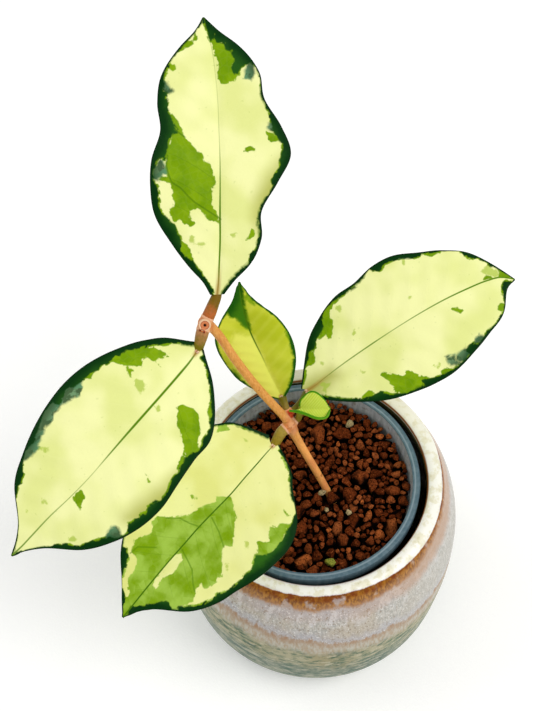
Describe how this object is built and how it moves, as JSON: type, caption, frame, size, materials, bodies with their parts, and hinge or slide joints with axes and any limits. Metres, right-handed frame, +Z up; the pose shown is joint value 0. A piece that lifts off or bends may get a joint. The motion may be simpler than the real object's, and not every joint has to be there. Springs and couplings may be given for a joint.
{
  "type": "potted variegated hoya",
  "caption": "Cutting of a climbing hoya with broad variegated leaves, rooted in baked-clay grit in a plastic growing pot inside a glazed cover pot.",
  "frame": {"origin": "centre of the cover pot's flat foot, on the surface it stands on", "axes": "+Z up along the cover pot's axis; the cutting leans towards -X; -Y faces the viewer of the picture"},
  "size_m": [0.1911, 0.1679, 0.2548],
  "materials": {
    "ceramic_pot": "gloss",
    "nursery_pot": "satin",
    "substrate": "matte",
    "main_stem": "satin",
    "leaf_top": "satin",
    "leaf_left": "satin",
    "leaf_lower": "satin",
    "leaf_right": "satin",
    "leaf_middle": "satin",
    "leaf_young": "satin"
  },
  "bodies": {
    "root": {"ceramic_pot": "ceramic_pot", "nursery_pot": "nursery_pot", "substrate": "substrate", "main_stem": "main_stem", "leaf_top": "leaf_top", "leaf_left": "leaf_left", "leaf_lower": "leaf_lower", "leaf_right": "leaf_right", "leaf_middle": "leaf_middle", "leaf_young": "leaf_young"}
  },
  "joints": []
}
